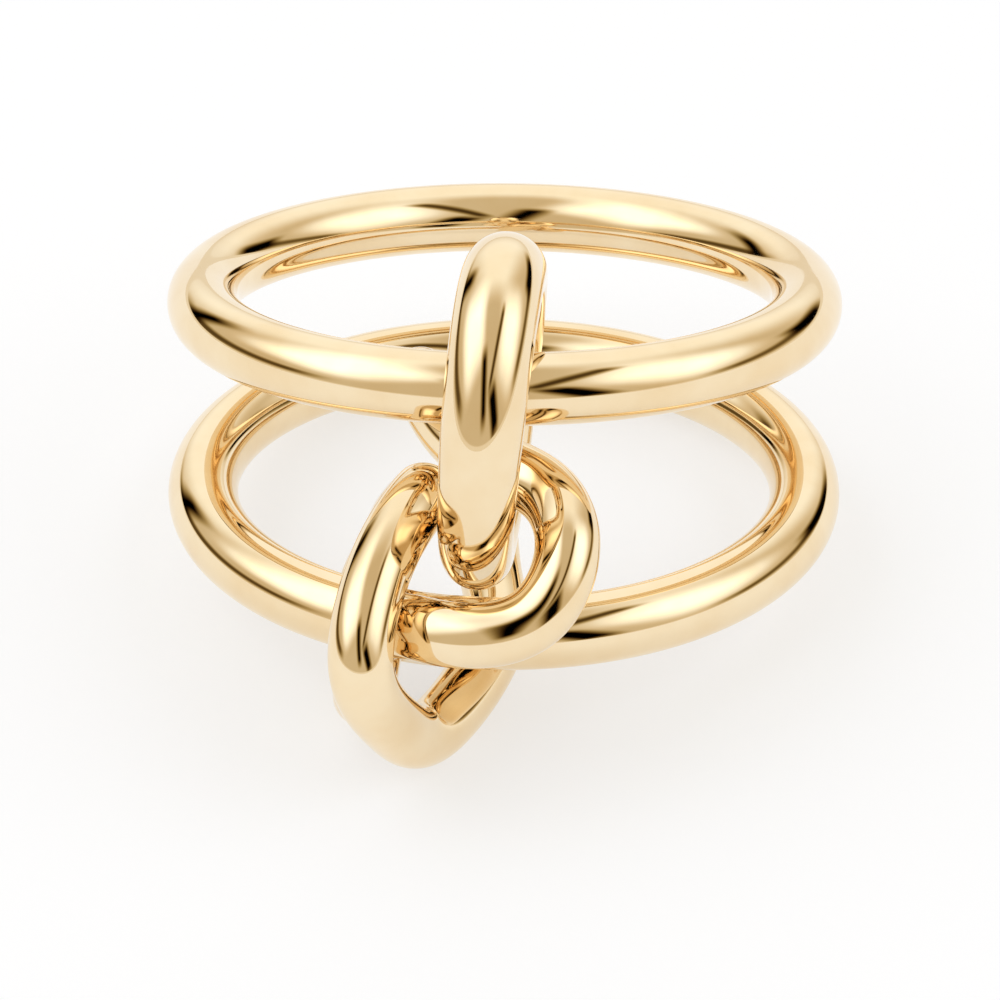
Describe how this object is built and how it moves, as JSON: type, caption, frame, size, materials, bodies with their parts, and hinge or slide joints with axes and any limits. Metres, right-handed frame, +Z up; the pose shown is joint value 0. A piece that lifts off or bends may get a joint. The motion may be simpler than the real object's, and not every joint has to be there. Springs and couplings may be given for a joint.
{
  "type": "finger ring",
  "caption": "Finger ring of plain round bands held together at the front by an upright oval link and a looped knot of round wire.",
  "frame": {"origin": "centre of the resting ring's bounding box, on the surface that it lies on", "axes": "+Z up from the surface, close to the axis of the finger hole; -Y towards the links at the front; +X to the right seen from the front"},
  "size_m": [0.0216, 0.0278, 0.0157],
  "materials": {
    "yellow_gold": "polished 18 karat yellow gold"
  },
  "bodies": {
    "root": {"upper_band": "yellow_gold", "lower_band": "yellow_gold", "upright_link": "yellow_gold", "knot_link": "yellow_gold"}
  },
  "joints": []
}
